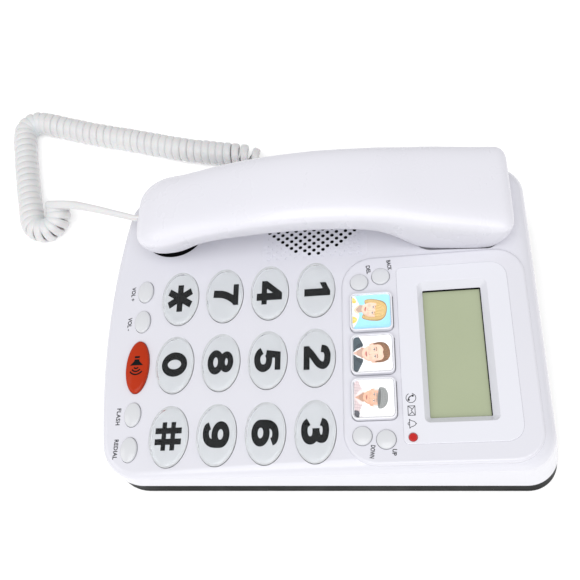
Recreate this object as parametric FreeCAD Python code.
"""Corded big-button desk telephone with a display, picture memory keys and a handset on a coiled cord.

Frame: +X to the user's right, +Y away from the user (towards the display), +Z up.
Origin: centre of the footprint, on the surface that the feet stand on. Millimetres.
Top-face features are built in a tilted frame (x, v, h): v runs up the slope, h is normal to it.
"""
import FreeCAD
import Part
import math
import os

V = FreeCAD.Vector
os.makedirs("parts", exist_ok=True)

# ---------------------------------------------------------------- driving dimensions
HALF_X = 82.5            # half width of the base at the floor
SIDE_DRAFT = 0.04        # lean of the side walls, mm per mm of height
Y_BACK = 119.0           # back edge (display end) at the floor
BACK_DRAFT = 0.235       # lean of the back wall
Y_FRONT = -110.1         # apex of the bowed front edge
R_FRONT_ARC = 423.0      # radius of the bowed front edge
R_CORNER_F = 20.0        # plan radius, front corners
R_CORNER_B = 16.0        # plan radius, back corners
Z_FLOOR = 1.5            # underside of the lower case, above the feet
Z_PART = 15.0            # joint between the lower and the upper case
TILT = 6.0               # slope of the top face, degrees
Z_TOP0 = 38.13           # height of the top face at y = 0
WALL = 2.4               # wall of the cases
SKIN = 2.5               # thickness of the sloped top
EDGE_R_FRONT = 3.0       # shoulder radius at the front
EDGE_R_BACK = 8.0        # shoulder radius at the back
ORIGIN_Y = 4.15          # y of the footprint's centre in the drawing

KEY_X = 24.7             # keypad centre
KEY_V = -35.7
PITCH_X = 37.0
PITCH_V = 24.0
DIAL_A, DIAL_B = 15.4, 10.1        # semi-axes of a dial key's opening
KEY_GAP = 0.20                     # gap between a key and its opening
DIAL_TRAVEL = 1.5
FUNC_V = -91.5                     # row of function keys
FUNC_A, FUNC_B = 6.4, 4.45
SPK_A, SPK_B = 14.3, 6.25
ROUND_R = 4.7

PLAT_X0, PLAT_X1 = -28.3, 78.6     # raised display platform, at its foot
PLAT_V0, PLAT_V1 = 13.6, 103.8
PLAT_H = 1.5
PLAT_SLOPE = 1.5                   # width of its rounded edge
PIC_X = 25.4                       # centre picture key
PIC_V = 28.5
PIC_PITCH = 22.3
PIC_W, PIC_L = 20.9, 21.6          # opening
PAN_X0, PAN_X1, PAN_V0, PAN_V1 = -20.8, 69.6, 41.4, 95.0
LCD_X0, LCD_X1, LCD_V0, LCD_V1 = -8.6, 56.8, 53.8, 82.0
BEZEL = 3.1                        # width of the sloped frame round the display
LED_X, LED_V = 66.4, 45.6

XH = -54.6                         # centre line of the handset
SPK_X, SPK_V = -54.6, -1.5         # loudspeaker
GRILLE_R = 25.0

CORD_OD = 14.4                     # outside of the curly cord's coil
FLAT_W, FLAT_T = 4.7, 2.5          # flat cable

SIN, COS = math.sin(math.radians(TILT)), math.cos(math.radians(TILT))
TILTED = FreeCAD.Placement(V(0, 0, Z_TOP0), FreeCAD.Rotation(V(1, 0, 0), TILT))


def surf_z(y):
    """Height of the sloped top face at y."""
    return Z_TOP0 + y * SIN / COS


def _placed(shape):
    """Moves a shape from the tilted frame to the row frame."""
    s = shape.copy()
    s.transformShape(TILTED.toMatrix())
    return s


def tpoint(x, v, h):
    return V(x, v * COS - h * SIN, Z_TOP0 + v * SIN + h * COS)


def box(x0, x1, y0, y1, z0, z1):
    return Part.makeBox(x1 - x0, y1 - y0, z1 - z0, V(x0, y0, z0))


def cyl(x, y, z0, z1, r):
    return Part.makeCylinder(r, z1 - z0, V(x, y, z0))


def rrect(x0, x1, y0, y1, r, z=0.0, rb=None):
    """Closed wire of a rounded rectangle; r rounds the low-y corners, rb the high-y ones."""
    rb = r if rb is None else rb
    k = math.sqrt(0.5)
    e = [
        Part.LineSegment(V(x0 + r, y0, z), V(x1 - r, y0, z)),
        Part.Arc(V(x1 - r, y0, z), V(x1 - r + r * k, y0 + r - r * k, z), V(x1, y0 + r, z)),
        Part.LineSegment(V(x1, y0 + r, z), V(x1, y1 - rb, z)),
        Part.Arc(V(x1, y1 - rb, z), V(x1 - rb + rb * k, y1 - rb + rb * k, z), V(x1 - rb, y1, z)),
        Part.LineSegment(V(x1 - rb, y1, z), V(x0 + rb, y1, z)),
        Part.Arc(V(x0 + rb, y1, z), V(x0 + rb - rb * k, y1 - rb + rb * k, z), V(x0, y1 - rb, z)),
        Part.LineSegment(V(x0, y1 - rb, z), V(x0, y0 + r, z)),
        Part.Arc(V(x0, y0 + r, z), V(x0 + r - r * k, y0 + r - r * k, z), V(x0 + r, y0, z)),
    ]
    return Part.Wire([s.toShape() for s in e])


def prism(wire, h):
    return Part.Face(wire).extrude(V(0, 0, h))


def rprism(x0, x1, y0, y1, r, z0, z1, rb=None):
    return prism(rrect(x0, x1, y0, y1, r, z0, rb), z1 - z0)


def eprism(x, y, a, b, z0, z1):
    e = Part.Ellipse(V(0, 0, 0), a, b)
    w = Part.Wire([e.toShape()])
    s = Part.Face(w).extrude(V(0, 0, z1 - z0))
    s.rotate(V(0, 0, 0), V(0, 0, 1), 180)
    s.translate(V(x, y, z0))
    return s


def fuse(first, *rest):
    s = first.multiFuse(list(rest)) if rest else first
    return s.removeSplitter()


def footprint(off, z):
    """Outline of the base, inset by off: straight back and sides, bowed front."""
    rise = max(0.0, z - Z_FLOOR)
    hx, yb = HALF_X - SIDE_DRAFT * rise - off, Y_BACK - BACK_DRAFT * rise - off
    rb, rf = max(R_CORNER_B - off, 1.0), max(R_CORNER_F - off, 1.0)
    R = R_FRONT_ARC - off
    yc = Y_FRONT + R_FRONT_ARC
    yq = yc - math.sqrt((R - rf) ** 2 - (hx - rf) ** 2)
    cx = hx - rf
    d = math.hypot(cx, yq - yc)
    tx, ty = cx / d * R, yc + (yq - yc) / d * R
    a0 = math.atan2(ty - yq, tx - cx)
    am = (a0 + 0.0) / 2
    mx, my = cx + rf * math.cos(am), yq + rf * math.sin(am)
    k = math.sqrt(0.5)
    e = [
        Part.Arc(V(-tx, ty, z), V(0, Y_FRONT + off, z), V(tx, ty, z)),
        Part.Arc(V(tx, ty, z), V(mx, my, z), V(hx, yq, z)),
        Part.LineSegment(V(hx, yq, z), V(hx, yb - rb, z)),
        Part.Arc(V(hx, yb - rb, z), V(hx - rb + rb * k, yb - rb + rb * k, z), V(hx - rb, yb, z)),
        Part.LineSegment(V(hx - rb, yb, z), V(-hx + rb, yb, z)),
        Part.Arc(V(-hx + rb, yb, z), V(-hx + rb - rb * k, yb - rb + rb * k, z), V(-hx, yb - rb, z)),
        Part.LineSegment(V(-hx, yb - rb, z), V(-hx, yq, z)),
        Part.Arc(V(-hx, yq, z), V(-mx, my, z), V(-tx, ty, z)),
    ]
    return Part.Wire([s.toShape() for s in e])


def walls(off, z0, z1):
    """Solid between two levels inside the leaning outer walls, inset by off."""
    return Part.makeLoft([footprint(off, z0), footprint(off, z1)], True, True)


def above(h):
    """Everything above the plane h of the tilted frame."""
    return _placed(box(-200, 200, -250, 250, h, h + 120))


def top_edges(shape, h):
    """Edges of the shape that lie in the plane h of the tilted frame."""
    n = V(0, -SIN, COS)
    o = tpoint(0, 0, h)
    found = []
    for i, e in enumerate(shape.Edges):
        pts = [e.valueAt(e.FirstParameter + t * (e.LastParameter - e.FirstParameter)) for t in (0, 0.3, 0.6, 1)]
        if all(abs((p - o).dot(n)) < 1e-4 for p in pts):
            found.append((i + 1, e))
    return found


def rounded_top(shape, h, r_front, r_back):
    """Rounds the shoulder with a radius that grows from the front to the back."""
    doc = FreeCAD.newDocument("tmp", hidden=True)
    base = doc.addObject("Part::Feature", "b")
    base.Shape = shape
    f = doc.addObject("Part::Fillet", "f")
    f.Base = base

    def r_at(y):
        t = min(1.0, max(0.0, (y + 104.0) / 206.0))
        return r_front + t * (r_back - r_front)

    edges = []
    for i, e in top_edges(shape, h):
        ya, yb = e.valueAt(e.FirstParameter).y, e.valueAt(e.LastParameter).y
        if abs(ya - yb) < 0.5:
            ya = yb = (ya + yb) / 2
        edges.append((i, r_at(ya), r_at(yb)))
    f.Edges = edges
    doc.recompute()
    out = f.Shape.copy()
    ok = (not out.isNull()) and out.isValid() and len(out.Solids) == 1
    FreeCAD.closeDocument(doc.Name)
    if not ok:
        print("variable shoulder failed, constant radius used")
        out = shape.makeFillet((r_front + r_back) / 2, [e for _, e in top_edges(shape, h)])
    return out


SHAPES = {}


def put(name, shape):
    if shape.ShapeType != "Compound" and len(shape.Solids) == 1:
        shape = shape.Solids[0]
    SHAPES[name] = shape


# ---------------------------------------------------------------- key positions
DIAL = {}
for r, row in enumerate(("star 0 hash", "7 8 9", "4 5 6", "1 2 3")):
    for c, n in enumerate(row.split()):
        DIAL["key_" + n] = (KEY_X + (c - 1) * PITCH_X, KEY_V + (r - 1.5) * PITCH_V)
FUNC = {
    "key_volume_up": (KEY_X - 42.4, FUNC_V),
    "key_volume_down": (KEY_X - 25.1, FUNC_V),
    "key_flash": (KEY_X + 25.3, FUNC_V),
    "key_redial": (KEY_X + 42.9, FUNC_V),
}
SPEAKER_KEY = (KEY_X + 0.2, FUNC_V)
ROUND = {
    "key_delete": (-14.1, 22.7),
    "key_back": (-16.7, 33.6),
    "key_down": (65.0, 22.5),
    "key_up": (67.0, 33.4),
}
PICS = {"picture_key_%d" % (i + 1): (PIC_X + (i - 1) * PIC_PITCH, PIC_V) for i in range(3)}


def domed(x, v, a, b, edge_h, top_h, bevel, flange, bottom, cavity=None, under=-SKIN, trim=False):
    """A domed oval key on the tilted frame, made as a round one of radius b and stretched to a along x.
    edge_h is the height where the wall turns into the bevel, top_h the crown, flange how far the lip stands out below."""
    bb = b
    # profile in (radius, height)
    fl = bb + flange
    lip = under - 0.3
    crown_r = ((bb - bevel) ** 2 + (top_h - (edge_h + bevel)) ** 2) / (2 * (top_h - edge_h - bevel))
    k = math.sqrt(0.5)
    p_out = V(bb, 0, edge_h)
    p_bev = V(bb - bevel, 0, edge_h + bevel)
    p_mid = V(bb - bevel + bevel * k, 0, edge_h + bevel * k)
    p_top = V(0, 0, top_h)
    ang = math.asin((bb - bevel) / crown_r) / 2
    p_cm = V(crown_r * math.sin(ang), 0, top_h - crown_r * (1 - math.cos(ang)))
    segs = []
    if cavity:
        wall, ceil = cavity
        segs.append(Part.LineSegment(V(0, 0, ceil), V(bb - wall - 0.4, 0, ceil)))
        segs.append(Part.LineSegment(V(bb - wall - 0.4, 0, ceil), V(bb - wall, 0, ceil - 0.4)))
        segs.append(Part.LineSegment(V(bb - wall, 0, ceil - 0.4), V(bb - wall, 0, bottom)))
        segs.append(Part.LineSegment(V(bb - wall, 0, bottom), V(fl, 0, bottom)))
        axis_low = V(0, 0, ceil)
    else:
        segs.append(Part.LineSegment(V(0, 0, bottom), V(fl, 0, bottom)))
        axis_low = V(0, 0, bottom)
    segs.append(Part.LineSegment(V(fl, 0, bottom), V(fl, 0, lip)))
    segs.append(Part.LineSegment(V(fl, 0, lip), V(bb, 0, lip)))
    segs.append(Part.LineSegment(V(bb, 0, lip), p_out))
    segs.append(Part.Arc(p_out, p_mid, p_bev))
    segs.append(Part.Arc(p_bev, p_cm, p_top))
    segs.append(Part.LineSegment(p_top, axis_low))
    face = Part.Face(Part.Wire([s.toShape() for s in segs]))
    solid = face.revolve(V(0, 0, 0), V(0, 0, 1), 360)
    if abs(a - b) > 1e-6:
        m = FreeCAD.Matrix()
        m.A11 = a / b
        solid = solid.transformGeometry(m)
    if trim:
        solid = solid.common(box(-a - 0.02, a + 0.02, -50, 50, -50, 50))
    solid.translate(V(x, v, 0))
    return _placed(solid)


# ---------------------------------------------------------------- upper case
def build_upper_case():
    outer = walls(0.0, Z_PART, 70.0).cut(above(0.0))
    outer = rounded_top(outer, 0.0, EDGE_R_FRONT, EDGE_R_BACK)
    plat = rprism(PLAT_X0, PLAT_X1, PLAT_V0, PLAT_V1, 16.0, -11.0, PLAT_H, 14.0)
    tops = [e for e in plat.Edges if all(abs(vx.Z - PLAT_H) < 1e-6 for vx in e.Vertexes) and abs(e.valueAt((e.FirstParameter + e.LastParameter) / 2).z - PLAT_H) < 1e-6]
    plat = _placed(plat.makeFillet(PLAT_SLOPE - 0.1, tops))
    body = fuse(outer, plat)
    inner = walls(WALL, Z_PART - 1, 70.0).cut(above(-SKIN))
    inner = rounded_top(inner, -SKIN, 0.9, 5.8)
    shell = body.cut(inner)
    shell = shell.cut(_placed(rprism(PLAT_X0 + 3, PLAT_X1 - 3, PLAT_V0 + 3, PLAT_V1 - 3, 8.0, -9.0, -1.0)))
    # pan under the earpiece well, and the rest under the mouthpiece
    pan = box(-78.4, -27.4, 46.5, 102.0, 36.2, 60.0).common(outer)
    shell = fuse(shell, pan, _placed(upright_oval(XH, POCKET_V, 18.6, 19.7, -11.2, -1.0)).common(outer))
    # column stubs for the case screws
    cols = [cyl(x, y, 5.6, Z_PART + 0.5, 3.6).common(walls(0.5, 5.0, 40.0)) for x, y in BOSSES]
    cols += [cyl(x, y, Z_PART, 60.0, 3.6).common(outer) for x, y in BOSSES]
    shell = fuse(shell, *cols)
    cuts = [cyl(x, y, 0.0, 22.0, 1.3) for x, y in BOSSES]
    # earpiece well with a vertical wall round the handset
    cuts.append(prism(well_outline(WELL_Z), 90.0 - WELL_Z))
    cuts.append(cyl(HOOK_X, HOOK_Y, 30.0, 45.0, 3.9))
    # pocket under the mouthpiece
    t = [upright_oval(XH, POCKET_V, 16.4, 17.5, -9.0, 10.0)]
    for x, v in DIAL.values():
        t.append(eprism(x, v, DIAL_A, DIAL_B, -20, 10))
    for x, v in FUNC.values():
        t.append(eprism(x, v, FUNC_A, FUNC_B, -20, 10))
    t.append(eprism(SPEAKER_KEY[0], SPEAKER_KEY[1], SPK_A, SPK_B, -20, 10))
    for x, v in ROUND.values():
        t.append(cyl(x, v, -20, 10, ROUND_R))
    for x, v in PICS.values():
        t.append(rprism(x - PIC_W / 2, x + PIC_W / 2, v - PIC_L / 2, v + PIC_L / 2, 3.2, -20, 10))
    # seat and opening of the display panel
    t.append(rprism(PAN_X0 - 0.04, PAN_X1 + 0.04, PAN_V0 - 0.04, PAN_V1 + 0.04, 2.54, 0.7, 10, 8.04))
    t.append(rprism(LCD_X0 - 5.2, LCD_X1 + 5.2, LCD_V0 - 4.2, LCD_V1 + 4.2, 2.2, -20, 10))
    t.append(cyl(LED_X, LED_V, -20, 10, 2.25))
    # opening of the speaker grille
    t.append(rprism(GR_X0, GR_X1, GR_V0, GR_V1, 3.0, -20, 10))
    cuts += [_placed(s) for s in t]
    for i, c in enumerate(cuts):
        before = shell.Volume
        shell = shell.cut(c)
        if not 0.0 < before - shell.Volume < 0.98 * c.Volume:
            print("check cut", i, before - shell.Volume, c.Volume)
    # rest for the mouthpiece, standing in its pocket
    return fuse(shell, rprism(XH - 8, XH + 8, -85.0, -72.0, 4.0, 19.6, 36.1))


def upright_oval(x, v, a, b, h0, h1):
    """Elliptical prism whose longer semi-axis b runs along v."""
    s = eprism(0.0, 0.0, b, a, h0, h1)
    s.rotate(V(0, 0, 0), V(0, 0, 1), 90)
    s.translate(V(x, v, 0))
    return s


def well_outline(z):
    """Outline of the earpiece well: rounded towards the handle, widening to the back, cut-off corners at the back."""
    def q(x, y):
        return V(XH + x, y, z)
    e = [
        Part.LineSegment(q(-13.0, 49.4), q(13.0, 49.4)),
        Part.Arc(q(13.0, 49.4), q(21.2, 53.0), q(24.0, 61.5)),
        Part.LineSegment(q(24.0, 61.5), q(25.4, 87.0)),
        Part.Arc(q(25.4, 87.0), q(24.0, 90.6), q(20.0, 92.6)),
        Part.LineSegment(q(20.0, 92.6), q(-20.0, 92.6)),
        Part.Arc(q(-20.0, 92.6), q(-24.0, 90.6), q(-25.4, 87.0)),
        Part.LineSegment(q(-25.4, 87.0), q(-24.0, 61.5)),
        Part.Arc(q(-24.0, 61.5), q(-21.2, 53.0), q(-13.0, 49.4)),
    ]
    return Part.Wire([k.toShape() for k in e])


BOSSES = [(-40.0, -99.0), (41.5, -100.8), (70.0, 99.5), (-43.0, 106.5)]
WELL_Z = 40.2
POCKET_V = -78.5
HOOK_X, HOOK_Y = -46.0, 76.0
GR_X0, GR_X1, GR_V0, GR_V1 = -75.0, -30.6, -28.4, 27.2
upper = build_upper_case()
put("upper_case", upper)

# ---------------------------------------------------------------- speaker grille, flush with the top face
grille = rprism(GR_X0, GR_X1, GR_V0, GR_V1, 3.0, -SKIN, 0.0)
holes, dimples = [], []
HOLE_X, HOLE_V = -33.85, -0.75     # middle of the front row of holes
HOLE_PX, HOLE_PV = 2.05, 2.4       # row pitch and half the pitch along a row
REACH = [1, 4, 5, 6, 7, 8, 9, 10, 10, 10, 10, 10, 10, 10, 9, 8, 7, 6, 5]     # half length of each row, in half pitches
for r in range(-1, len(REACH)):
    x = HOLE_X - HOLE_PX * r
    for c in range(-10, 11):
        if (c + r) % 2 == 0:
            continue
        v = HOLE_V + HOLE_PV * c
        if r >= 0 and abs(c) <= REACH[r] and (r, c) != (1, 4):
            holes.append(cyl(x, v, -5, 2, 1.0))
        elif r < 9:
            dimples.append(cyl(x, v, -0.35, 2, 0.8))
grille = grille.cut(Part.makeCompound(holes + dimples))
put("speaker_grille", _placed(grille))
print("grille holes", len(holes), "dimples", len(dimples))

# ---------------------------------------------------------------- lower case
def build_lower_case():
    outer = walls(0.6, Z_FLOOR, Z_PART)
    low = [e for e in outer.Edges if all(abs(vx.Z - Z_FLOOR) < 1e-6 for vx in e.Vertexes) and abs(e.valueAt((e.FirstParameter + e.LastParameter) / 2).z - Z_FLOOR) < 1e-6]
    outer = outer.makeFillet(1.2, low)
    inner = walls(3.0, 3.9, 40.0)
    case = outer.cut(inner)
    # battery box: roof and walls standing on the floor
    bbox_ = box(-35.0, 35.0, 55.0, 105.6, 3.0, 21.0).cut(box(-33.4, 33.4, 56.6, 104.0, 0.0, 19.4))
    posts = [cyl(px, py, 3.0, 5.5, 4.6) for px, py in BOSSES]
    case = fuse(case, bbox_, *posts)
    cuts = [box(-33.4, 33.4, 56.6, 104.0, 0.0, 5.0)]
    # door seat, open at the back
    cuts.append(box(-36.2, 36.2, 54.2, 130.0, 0.0, 3.3))
    for px, py in BOSSES:
        cuts.append(cyl(px, py, 0.0, 6.0, 1.75))
        cuts.append(cyl(px, py, 0.0, 3.7, 3.1))
    for px, py in FEET:
        cuts.append(cyl(px, py, 0.0, 2.3, 6.1))
    # jack openings
    cuts.append(box(LINE_X - 6.1, LINE_X + 6.1, 108.0, 130.0, 3.9, 16.0))
    cuts.append(box(-90.0, -70.0, JACK_Y - 5.1, JACK_Y + 5.1, 3.9, 16.0))
    for c in cuts:
        case = case.cut(c)
    return case.removeSplitter()


FEET = [(-61.0, -84.0), (61.0, -84.0), (61.0, 86.0), (-61.0, 86.0)]
LINE_X = -60.0
JACK_Y = -6.0
put("lower_case", build_lower_case())
door = fuse(
    box(-35.9, 35.9, 54.5, 117.4, 1.6, 3.0),
    rprism(-12, 12, 110.0, 114.0, 1.5, 1.1, 1.7),
)
put("battery_door", door)
cells = []
for i in range(3):
    y = 65.1 + i * 15.1
    c = Part.makeCylinder(7.2, 48.5, V(-25.0, y, 11.4), V(1, 0, 0))
    c = fuse(c, Part.makeCylinder(2.75, 1.6, V(23.5, y, 11.4), V(1, 0, 0)))
    cells.append(c)
put("batteries", Part.makeCompound(cells))
plates = []
for i in range(3):
    y = 65.1 + i * 15.1
    plates.append(box(25.2, 25.8, y - 5.5, y + 5.5, 6.0, 17.0))
    plates.append(box(-25.9, -25.3, y - 5.5, y + 5.5, 6.0, 17.0))
put("battery_contacts", Part.makeCompound(plates))
put("rubber_feet", Part.makeCompound([fuse(cyl(px, py, 0.6, 2.3, 5.9), Part.makeCone(5.3, 5.9, 0.6, V(px, py, 0.0))) for px, py in FEET]))
screws = []
for px, py in BOSSES:
    s = fuse(cyl(px, py, 1.9, 3.6, 2.8), cyl(px, py, 3.5, 15.0, 1.25))
    s = s.cut(fuse(box(px - 1.8, px + 1.8, py - 0.35, py + 0.35, 1.0, 2.7), box(px - 0.35, px + 0.35, py - 1.8, py + 1.8, 1.0, 2.7)))
    screws.append(s)
put("case_screws", Part.makeCompound(screws))

# ---------------------------------------------------------------- jacks
line = box(LINE_X - 6.0, LINE_X + 6.0, 100.0, 114.9, 4.0, 14.9)
line = line.cut(fuse(box(LINE_X - 4.85, LINE_X + 4.85, 103.0, 130.0, 5.4, 12.0), box(LINE_X - 3.2, LINE_X + 3.2, 103.0, 130.0, 11.0, 13.3)))
put("line_jack", line)
JZ0, JZ1 = 5.2, 11.8
jack = box(-81.5, -67.0, JACK_Y - 5.0, JACK_Y + 5.0, 4.0, 14.9)
jack = jack.cut(box(-120.0, -69.5, JACK_Y - 3.95, JACK_Y + 3.95, JZ0, JZ1))
put("cord_jack", jack)
plug = box(-84.5, -70.0, JACK_Y - 3.8, JACK_Y + 3.8, JZ0 + 0.15, JZ1 - 0.15)
relief = Part.makeLoft([
    rrect(-3.4, 3.4, -2.8, 2.8, 1.0, 0.0),
    rrect(-2.9, 2.9, -1.8, 1.8, 0.9, 5.0),
], True)
r2 = relief.copy()
r2.transformShape(FreeCAD.Placement(V(-84.5, JACK_Y, 8.5), FreeCAD.Rotation(V(0, 0, -1), V(0, 1, 0), V(-1, 0, 0), "ZXY")).toMatrix())
put("base_plug", fuse(plug, r2))

# ---------------------------------------------------------------- boards, mat, display
board = rprism(-27.5, 76.0, -97.5, 44.0, 2.0, -13.6, -12.0)
put("main_board", _placed(board))
mat = rprism(-26.5, 76.0, -97.0, 42.5, 3.0, -11.9, -10.8)
domes = []
for x, v in list(DIAL.values()) + [SPEAKER_KEY]:
    domes.append(Part.makeCone(3.6, 2.4, 4.8, V(x, v, -10.85)))
for x, v in list(FUNC.values()) + list(ROUND.values()):
    domes.append(Part.makeCone(2.6, 1.8, 4.8, V(x, v, -10.85)))
for x, v in PICS.values():
    domes.append(Part.makeCone(3.6, 2.4, 4.8, V(x, v, -10.85)))
put("keypad_mat", _placed(fuse(mat, *domes)))
bs = []
for x, v in ((-23.5, -12.0), (72.5, -12.0), (-23.5, 40.0), (72.5, 12.5)):
    bs.append(_placed(cyl(x, v, -15.1, -13.65, 2.4)))
put("board_screws", Part.makeCompound(bs))

panel = rprism(PAN_X0, PAN_X1, PAN_V0, PAN_V1, 2.5, 0.7, 1.9, 8.0)
tops = [e for e in panel.Edges if all(abs(vx.Z - 1.9) < 1e-6 for vx in e.Vertexes) and abs(e.valueAt((e.FirstParameter + e.LastParameter) / 2).z - 1.9) < 1e-6]
panel = panel.makeFillet(0.35, tops)
panel = fuse(panel, rprism(LCD_X0 - 4.9, LCD_X1 + 4.9, LCD_V0 - 3.9, LCD_V1 + 3.9, 2.0, -1.6, 0.8))
slope = Part.makeLoft([
    rrect(LCD_X0, LCD_X1, LCD_V0, LCD_V1, 0.6, -1.6),
    rrect(LCD_X0 - BEZEL, LCD_X1 + BEZEL, LCD_V0 - BEZEL + 0.6, LCD_V1 + BEZEL, 2.6, 1.9),
], True)
panel = panel.cut(slope)
panel = panel.cut(rprism(LCD_X0, LCD_X1, LCD_V0, LCD_V1, 0.6, -3.0, -1.5))
panel = panel.cut(rprism(LCD_X0 - BEZEL, LCD_X1 + BEZEL, LCD_V0 - BEZEL + 0.6, LCD_V1 + BEZEL, 2.6, 1.89, 3.0))
panel = panel.cut(cyl(LED_X, LED_V, -5, 5, 2.15))
put("display_panel", _placed(panel))
put("lcd_glass", _placed(rprism(LCD_X0 - 2.4, LCD_X1 + 2.4, LCD_V0 - 2.0, LCD_V1 + 2.0, 0.5, -4.0, -2.6)))
put("lcd_board", _placed(rprism(LCD_X0 - 6.5, LCD_X1 + 6.5, LCD_V0 - 6.5, LCD_V1 + 6.5, 1.0, -5.6, -4.1)))
led = fuse(cyl(LED_X, LED_V, -3.0, 1.9, 2.05), cyl(LED_X, LED_V, -4.0, -2.9, 2.6))
led = fuse(led, Part.makeSphere(2.05, V(LED_X, LED_V, 1.5)))
put("ring_led", _placed(led.cut(cyl(LED_X, LED_V, 2.9, 9, 5))))

# ---------------------------------------------------------------- loudspeaker
prof = [V(0, 0, -17), V(11, 0, -17), V(11, 0, -9.5), V(15, 0, -9.0), V(20.5, 0, -4.9), V(21.5, 0, -4.9), V(21.5, 0, -2.8), V(18.5, 0, -2.8), V(18.5, 0, -3.6), V(8, 0, -7.0), V(0, 0, -5.6), V(0, 0, -17)]
spk = Part.Face(Part.makePolygon(prof)).revolve(V(0, 0, 0), V(0, 0, 1), 360)
spk.translate(V(SPK_X, SPK_V, 0))
put("loudspeaker", _placed(spk))

# ---------------------------------------------------------------- hook switch
plunger = fuse(cyl(HOOK_X, HOOK_Y, 22.0, 40.25, 3.5), cyl(HOOK_X, HOOK_Y, 22.0, 23.6, 5.2))
e = [ed for ed in plunger.Edges if abs(ed.valueAt(ed.FirstParameter).z - 40.25) < 1e-6 and ed.Length > 10]
plunger = plunger.makeFillet(0.8, e[:1])
put("hook_plunger", plunger)
put("hook_switch", fuse(box(HOOK_X - 7, HOOK_X + 7, HOOK_Y - 5, HOOK_Y + 5, 5.0, 15.0), box(HOOK_X - 9, HOOK_X + 9, HOOK_Y - 8, HOOK_Y + 8, 3.9, 5.2)))
helix = Part.makeHelix(1.35, 6.2, 3.0)
wire8 = [V(3.0 + 0.32 * math.cos(math.pi * k / 4), 0, 0.32 * math.sin(math.pi * k / 4)) for k in range(8)]
spring = Part.Wire(helix.Edges).makePipeShell([Part.makePolygon(wire8 + wire8[:1])], True, True)
spring.translate(V(HOOK_X, HOOK_Y, 15.4))
put("hook_spring", spring)

# ---------------------------------------------------------------- keys
for n, (x, v) in DIAL.items():
    put(n, domed(x, v, DIAL_A - KEY_GAP, DIAL_B - KEY_GAP, 0.9, 2.9, 1.4, 1.0, -4.2, cavity=(0.6, 0.7), under=-SKIN - 0.5, trim=True))
for n, (x, v) in FUNC.items():
    put(n, domed(x, v, FUNC_A - KEY_GAP, FUNC_B - KEY_GAP, 0.5, 1.75, 0.8, 0.8, -4.2))
put("key_speaker", domed(SPEAKER_KEY[0], SPEAKER_KEY[1], SPK_A - KEY_GAP, SPK_B - KEY_GAP, 0.7, 2.5, 1.2, 0.9, -4.2))
for n, (x, v) in ROUND.items():
    put(n, domed(x, v, ROUND_R - KEY_GAP, ROUND_R - KEY_GAP, 1.9, 3.1, 0.8, 0.7, -4.2, under=-1.0))
for i, (n, (x, v)) in enumerate(PICS.items()):
    w, l = PIC_W / 2 - 0.3, PIC_L / 2 - 0.3
    k = rprism(x - w, x + w, v - l, v + l, 2.9, -4.2, 4.4)
    tops = [e for e in k.Edges if all(abs(vx.Z - 4.4) < 1e-6 for vx in e.Vertexes) and abs(e.valueAt((e.FirstParameter + e.LastParameter) / 2).z - 4.4) < 1e-6]
    k = k.makeFillet(0.5, tops)
    k = fuse(k, rprism(x - w - 0.6, x + w + 0.6, v - l - 0.8, v + l + 0.8, 3.2, -4.2, -1.3))
    k = k.cut(rprism(x - w + 0.75, x + w - 0.75, v - l + 0.75, v + l - 0.75, 2.2, 3.1, 6))
    k = k.cut(rprism(x - w + 1.1, x + w - 1.1, v - l + 1.1, v + l - 1.1, 1.9, 2.8, 6))
    k = k.cut(rprism(x - w + 1.8, x + w - 1.8, v - l + 1.8, v + l - 1.8, 1.3, -6, 1.6))
    put(n, _placed(k))
    win = rprism(x - w + 0.8, x + w - 0.8, v - l + 0.8, v + l - 0.8, 2.15, 3.1, 4.35)
    put("picture_window_%d" % (i + 1), _placed(win))

# ---------------------------------------------------------------- handset
# tables along y: height of the top, height of the bottom, half width, squareness of the section
TOP = [(-95.0, 50.5), (-88, 53.2), (-79, 56.2), (-59, 62.8), (-33, 70.4), (-10, 74.4), (9, 76.0), (30, 75.6), (55, 72.2), (75, 69.4), (90, 67.2), (98.3, 66.0)]
BOT = [(-95.0, 37.0), (-86, 36.6), (-72, 37.2), (-66, 40.4), (-59, 45.6), (-47, 49.6), (-33, 52.6), (-15, 55.6), (5, 57.2), (20, 57.2), (29, 56.2), (37, 53.2), (44, 48.2), (50, 43.2), (56, 40.9), (64, 40.6), (84, 40.6), (87.5, 42.0), (90.5, 45.4), (94.0, 50.8), (98.3, 56.0)]
HW = [(-95.0, 21.0), (-80, 22.0), (-60, 21.0), (-30, 21.2), (0, 21.4), (25, 21.8), (42, 23.0), (58, 24.6), (75, 25.2), (88, 25.7), (98.3, 25.2)]
SQ = [(-95.0, 3.0), (-60, 3.2), (0, 3.4), (35, 3.8), (58, 5.0), (98.3, 5.2)]


def smooth(table, y):
    """Cubic through a table, with slopes that don't overshoot."""
    xs, ys = [p[0] for p in table], [p[1] for p in table]
    if y <= xs[0]:
        return ys[0]
    if y >= xs[-1]:
        return ys[-1]
    n = len(xs)
    d = [(ys[i + 1] - ys[i]) / (xs[i + 1] - xs[i]) for i in range(n - 1)]
    m = [d[0]]
    for i in range(1, n - 1):
        if d[i - 1] * d[i] <= 0:
            m.append(0.0)
        else:
            w1, w2 = 2 * (xs[i + 1] - xs[i]) + (xs[i] - xs[i - 1]), (xs[i + 1] - xs[i]) + 2 * (xs[i] - xs[i - 1])
            m.append((w1 + w2) / (w1 / d[i - 1] + w2 / d[i]))
    m.append(d[-1])
    for i in range(n - 1):
        if xs[i] <= y <= xs[i + 1]:
            h = xs[i + 1] - xs[i]
            t = (y - xs[i]) / h
            return (ys[i] * (1 + 2 * t) * (1 - t) ** 2 + m[i] * h * t * (1 - t) ** 2 + ys[i + 1] * t * t * (3 - 2 * t) + m[i + 1] * h * t * t * (t - 1))


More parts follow.
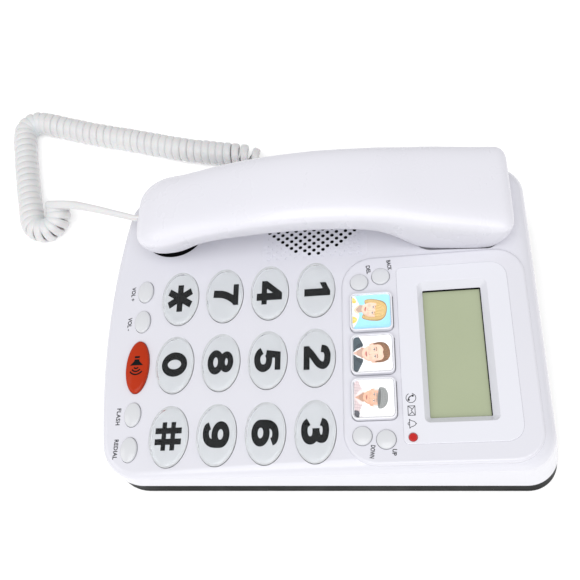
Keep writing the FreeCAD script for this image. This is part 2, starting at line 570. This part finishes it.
Y0H, Y1H = -95.0, 98.3
END_M, END_E = 17.0, 6.5     # length over which the mouth end and the ear end round off
RING = 40                    # poles round a section


def section(y, off):
    """Ring of poles of the handset's section at y, inset by off."""
    top, bot, hw, n = smooth(TOP, y), smooth(BOT, y), smooth(HW, y), smooth(SQ, y)

    def end(dist, length):
        t = max(0.0, min(1.0, dist / length))
        return math.sqrt(max(0.0, 1 - (1 - t) ** 2))

    em, ee = end(y - off - Y0H, END_M), end(Y1H - off - y, END_E)
    hw = hw - (1 - em) * 11.0 - (1 - ee) * 6.0 - off
    top = top - (1 - em) * 5.5 - (1 - ee) * 3.5 - off
    bot = bot + (1 - em) * 3.0 + (1 - ee) * 1.5 + off
    zc, hh = (top + bot) / 2, (top - bot) / 2
    ring = []
    for i in range(RING):
        t = 2 * math.pi * (i + 0.5) / RING
        c, s = math.cos(t), math.sin(t)
        px = hw * math.copysign(abs(c) ** (2.0 / n), c)
        pz = hh * math.copysign(abs(s) ** (2.0 / n), s)
        lean = 1.0 - 0.02 * (0.5 - 0.5 * pz / hh)      # the sides lean in towards the bottom
        ring.append(V(XH + px * lean, y, zc + pz))
    return ring


def stations(off):
    y0, y1 = Y0H + off, Y1H - off
    ys = [y0, y0 + 0.3, y0 + 1.2, y0 + 2.8, y0 + 5.2, y0 + 8.4, y0 + 12.2, y0 + 16.4]
    ys += [-74.0, -70.0, -66.0, -62.0, -57.5, -52.0, -45.0, -37.0, -28.0, -18.0, -8.0, 2.0, 12.0, 20.0, 26.0, 31.0, 36.0, 41.0, 46.0, 51.0, 56.0, 61.0, 67.0, 74.0, 80.0]
    ys += [y1 - 10.4, y1 - 7.2, y1 - 4.8, y1 - 2.9, y1 - 1.4, y1 - 0.4, y1]
    return ys


def handset_body(off):
    """Solid under one smooth skin through the rings, closed by two flat ends."""
    rows = [section(y, off) for y in stations(off)]
    n = len(rows)
    skin = Part.BSplineSurface()
    skin.buildFromPolesMultsKnots(
        rows, [4] + [1] * (n - 4) + [4], [1] * (RING + 1),
        [float(i) for i in range(n - 2)], [float(i) for i in range(RING + 1)], False, True, 3, 3)
    side = skin.toShape()
    y0, y1 = rows[0][0].y, rows[-1][0].y
    faces = [side]
    for e in side.Edges:
        bb = e.BoundBox
        if bb.YLength < 1e-6:
            faces.append(Part.Face(Part.Wire([e])))
    shell = Part.makeShell(faces)
    shell.sewShape()
    solid = Part.makeSolid(shell)
    if solid.Volume < 0:
        solid.reverse()
    return solid


outer_h = handset_body(0.0)
inner_h = handset_body(2.2)
print("handset volumes", outer_h.Volume, inner_h.Volume, outer_h.isValid(), inner_h.isValid())
shell_h = outer_h.cut(inner_h)
part_pts = [V(-120, y, min(smooth(BOT, y), 46.0 if y > 85 else 99.0) + 6.5) for y in (-96, -86, -76, -68, -60, -50, -38, -24, -8, 8, 22, 32, 40, 47, 54, 64, 80, 100)]
bs_ = Part.BSplineCurve()
bs_.interpolate([V(-120, -130, part_pts[0].z)] + part_pts + [V(-120, 130, part_pts[-1].z)])
e1 = bs_.toShape()
pw = Part.Wire([e1, Part.makeLine(V(-120, 130, part_pts[-1].z), V(-120, 130, -20)), Part.makeLine(V(-120, 130, -20), V(-120, -130, -20)), Part.makeLine(V(-120, -130, -20), V(-120, -130, part_pts[0].z))])
lower_half = Part.Face(pw).extrude(V(140, 0, 0))
h_bottom = shell_h.common(lower_half)
h_top = shell_h.cut(lower_half)
# sound holes and jack
EAR_Y = 73.0
ear_holes = [cyl(XH, EAR_Y, 30, 45, 1.1)] + [cyl(XH + 5.5 * math.cos(k * math.pi / 3), EAR_Y + 5.5 * math.sin(k * math.pi / 3), 30, 45, 1.1) for k in range(6)]
mic_holes = [box(XH - 5.0 + dx, XH - 3.8 + dx, -79.0, -73.0, 30, 42) for dx in (0.0, 2.9, 5.8, 8.7)]
JHZ = 44.0
h_cuts = ear_holes + mic_holes + [box(XH - 1.75, XH + 1.75, -110, -90.6, JHZ - 2.6, JHZ + 2.2)]
for c in h_cuts:
    h_bottom = h_bottom.cut(c)
h_top = h_top.cut(h_cuts[-1])
put("handset_top_shell", h_top.removeSplitter())
put("handset_bottom_shell", h_bottom.removeSplitter())
room = handset_body(2.6)     # room inside the handset, clear of its skin
put("receiver_capsule", fuse(cyl(XH, EAR_Y - 1.0, 43.6, 48.0, 14.5), cyl(XH, EAR_Y - 1.0, 47.9, 52.0, 9.0)).common(room))
put("microphone", cyl(XH, -75.0, 39.6, 43.6, 4.85).common(room))
put("handset_weight", box(XH - 9, XH + 9, -16.0, 30.0, 63.0, 69.0))
put("handset_jack", box(XH - 5.2, XH + 5.2, -90.3, -81.0, 39.7, 48.3).cut(box(XH - 3.95, XH + 3.95, -120, -82.5, JHZ - 3.25, JHZ + 3.25)).common(room))
put("handset_screws", Part.makeCompound([cyl(XH, yy, smooth(BOT, yy) + 2.4, smooth(BOT, yy) + 12.0, 1.3) for yy in (-40.0, 40.0)]).common(room))
put("handset_plug", box(XH - 3.8, XH + 3.8, -90.5, -83.0, JHZ - 3.05, JHZ + 3.05).common(room))

# ---------------------------------------------------------------- curly cord
def route(points, r_tube, name):
    """Round tube along straight runs joined by the largest tangent arcs that the runs allow."""
    P = [V(*p) for p in points]
    edges, prev, radii = [], P[0], []
    length = 0.0
    for i in range(1, len(P) - 1):
        a, b, c = P[i - 1], P[i], P[i + 1]
        u, w = (a - b), (c - b)
        lu, lw = u.Length, w.Length
        u.normalize()
        w.normalize()
        turn = math.pi - math.acos(max(-1, min(1, u.dot(w))))
        t = 0.45 * min(lu, lw)
        rad = t / math.tan(turn / 2)
        radii.append(round(rad, 1))
        p1, p2 = b + u * t, b + w * t
        bis = (u + w)
        bis.normalize()
        centre = b + bis * (rad / math.cos(turn / 2))
        d = b - centre
        d.normalize()
        mid = centre + d * rad
        edges.append(Part.makeLine(prev, p1))
        length += (p1 - prev).Length + rad * turn
        edges.append(Part.Arc(p1, mid, p2).toShape())
        prev = p2
    edges.append(Part.makeLine(prev, P[-1]))
    length += (P[-1] - prev).Length
    wire = Part.Wire(edges)
    d0 = P[1] - P[0]
    d0.normalize()
    circ_ = Part.Wire([Part.Circle(P[0], d0, r_tube).toShape()])
    tube = wire.makePipeShell([circ_], True, False)
    print(name, "radii", radii, "length", round(length, 1), "volume ratio", round(tube.Volume / (math.pi * r_tube ** 2 * length), 4), tube.isValid())
    return tube


TAIL_H = [(XH, -96.2, 44.0), (-57.0, -101.7, 42.8), (-61.5, -110.8, 39.2), (-66.7, -120.7, 34.8), (-72.2, -131.1, 29.8), (-77.4, -140.7, 24.4), (-81.7, -148.9, 18.8), (-85.5, -155.9, 12.8)]
COIL = [(-85.5, -155.9, 12.8), (-81.2, -155.4, 10.6), (-76.74, -155.6, 8.9), (-72.62, -158.28, 7.8), (-70.62, -162.77, 7.4), (-71.39, -167.63, 7.4), (-74.68, -171.28, 7.4), (-83.6, -173.75, 7.4), (-95.2, -176.8, 7.4), (-108.0, -180.1, 7.4), (-121.2, -183.2, 7.4), (-133.3, -185.8, 7.4), (-144.16, -188.05, 7.4), (-149.61, -185.11, 7.4), (-151.94, -179.38, 7.4), (-148.7, -168.6, 7.4), (-143.6, -152.0, 7.4), (-139.0, -135.2, 7.4), (-134.9, -116.5, 7.4), (-129.9, -97.8, 7.4), (-125.5, -79.6, 7.4), (-122.6, -60.5, 7.4), (-119.6, -42.0, 7.4)]
TAIL_B = [(-119.6, -42.0, 7.4), (-115.6, -34.4, 6.6), (-110.8, -25.6, 6.4), (-105.6, -16.8, 7.0), (-98.8, -9.6, 8.0), (-90.2, -6.0, 8.5)]
put("cord_tail_handset", route(TAIL_H, FLAT_T / 2, "tail_h"))
put("cord_coil", route(COIL, CORD_OD / 2, "coil"))
put("cord_tail_base", route(TAIL_B, FLAT_T / 2, "tail_b"))

# ---------------------------------------------------------------- write
bad = []
for name, s in SHAPES.items():
    if ORIGIN_Y:
        s.translate(V(0, -ORIGIN_Y, 0))
    if not s.isValid() or not s.Solids:
        bad.append(name)
    s.exportStep("parts/%s.step" % name)
print(len(SHAPES), "nodes; invalid:", bad)
free = [n for n in SHAPES if not n.startswith("cord_") and not n.endswith("_plug")]
lo = [min(getattr(SHAPES[n].BoundBox, k) for n in free) for k in ("XMin", "YMin", "ZMin")]
hi = [max(getattr(SHAPES[n].BoundBox, k) for n in free) for k in ("XMax", "YMax", "ZMax")]
print("box", lo, hi, "centre y", (lo[1] + hi[1]) / 2)
print("solids", {n: len(s.Solids) for n, s in SHAPES.items() if len(s.Solids) != 1})
